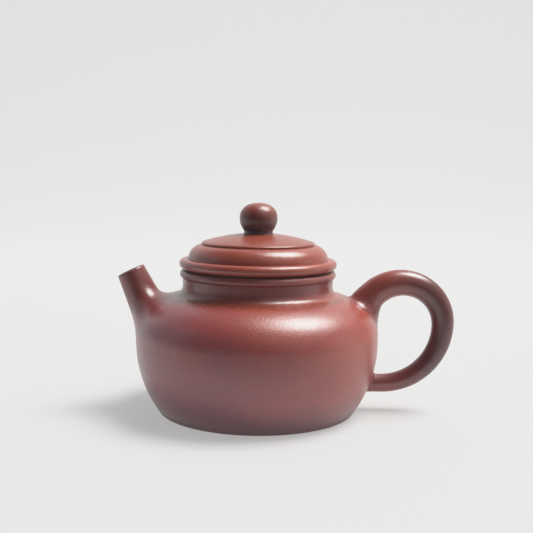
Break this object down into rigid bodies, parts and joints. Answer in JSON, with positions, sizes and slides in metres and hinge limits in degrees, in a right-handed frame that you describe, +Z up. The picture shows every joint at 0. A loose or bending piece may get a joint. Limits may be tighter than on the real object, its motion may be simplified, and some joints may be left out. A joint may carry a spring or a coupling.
{
  "type": "yixing clay teapot",
  "caption": "Round unglazed clay teapot with a short straight spout, an ear-shaped handle and a domed lift-off lid with a ball knob.",
  "frame": {"origin": "on the pot's axis, in the plane its foot stands on", "axes": "+Z up through the knob, +X towards the handle, -X towards the spout"},
  "size_m": [0.1345, 0.0964, 0.083],
  "materials": {
    "clay_foot": "unglazed fired clay with a satin burnish",
    "clay_base": "unglazed fired clay with a satin burnish",
    "clay_belly": "unglazed fired clay with a satin burnish",
    "clay_shoulder": "unglazed fired clay with a satin burnish",
    "clay_neck": "unglazed fired clay with a satin burnish",
    "clay_rim": "unglazed fired clay with a satin burnish",
    "clay_spout": "unglazed fired clay with a satin burnish",
    "clay_strainer": "unglazed fired clay with a satin burnish",
    "clay_handle": "unglazed fired clay with a satin burnish",
    "clay_lid_ring": "unglazed fired clay with a satin burnish",
    "clay_flange": "unglazed fired clay with a satin burnish",
    "clay_dome": "unglazed fired clay with a satin burnish",
    "clay_top_disc": "unglazed fired clay with a satin burnish",
    "clay_collar": "unglazed fired clay with a satin burnish",
    "clay_knob": "unglazed fired clay with a satin burnish"
  },
  "bodies": {
    "pot": {"foot_ring": "clay_foot", "base_disc": "clay_base", "belly_wall": "clay_belly", "shoulder_disc": "clay_shoulder", "neck_ring": "clay_neck", "mouth_rim": "clay_rim", "spout": "clay_spout", "strainer": "clay_strainer", "handle": "clay_handle"},
    "lid": {"lid_ring": "clay_lid_ring", "lid_flange": "clay_flange", "lid_dome": "clay_dome", "lid_top_disc": "clay_top_disc", "knob_collar": "clay_collar", "knob": "clay_knob"}
  },
  "joints": [
    {"name": "lid_lift", "type": "slide", "parent": "pot", "child": "lid", "axis": [0, 0, 1], "range_m": [0, 0.06]}
  ]
}
